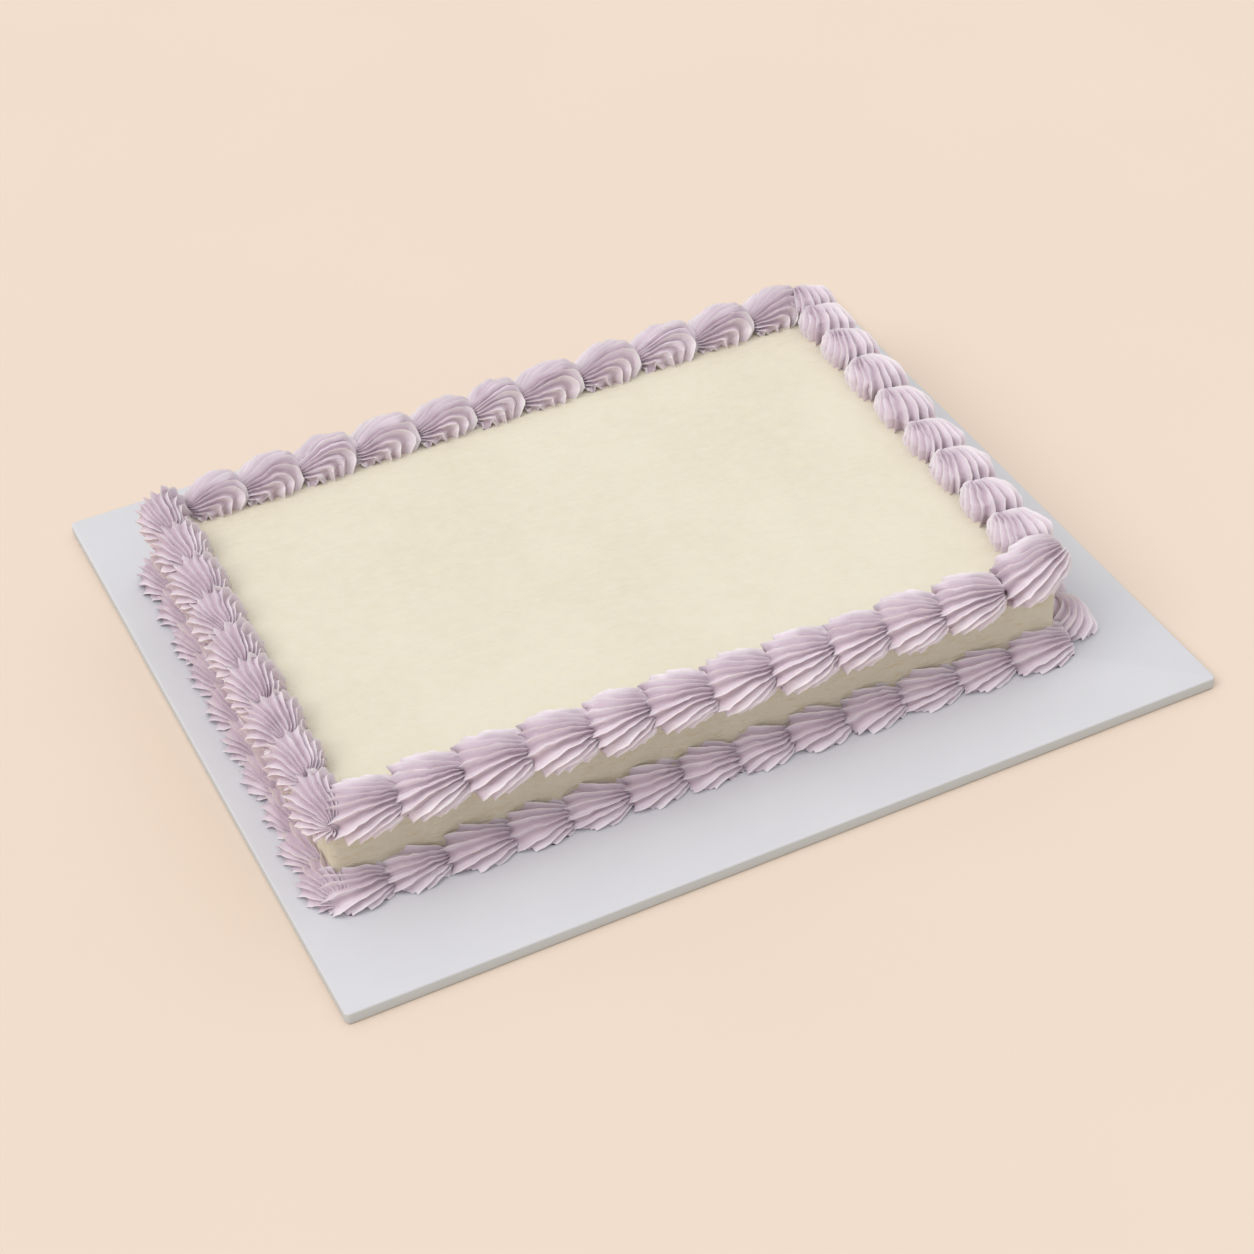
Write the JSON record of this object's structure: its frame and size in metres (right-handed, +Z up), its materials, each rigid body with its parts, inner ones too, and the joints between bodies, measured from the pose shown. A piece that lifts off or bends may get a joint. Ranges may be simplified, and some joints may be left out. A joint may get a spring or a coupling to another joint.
{
  "type": "iced sheet cake on a board",
  "caption": "Rectangular iced sheet cake with a piped shell border round its top edge and round its foot, on a flat cake board.",
  "frame": {"origin": "middle of the board's underside, which is also the middle of the whole's footprint", "axes": "+X along the board's long side, to the right as seen from the front; -Y is the front; +Z up"},
  "size_m": [0.406, 0.351, 0.0662],
  "materials": {
    "board_paper": "white coated card, matt",
    "ivory_icing": "smoothed buttercream, soft matt",
    "lilac_icing": "piped buttercream, soft satin"
  },
  "bodies": {
    "root": {"board": "board_paper", "iced_cake": "ivory_icing", "top_border_front": "lilac_icing", "top_border_right": "lilac_icing", "top_border_back": "lilac_icing", "top_border_left": "lilac_icing", "foot_border_front": "lilac_icing", "foot_border_right": "lilac_icing", "foot_border_back": "lilac_icing", "foot_border_left": "lilac_icing"}
  },
  "joints": []
}
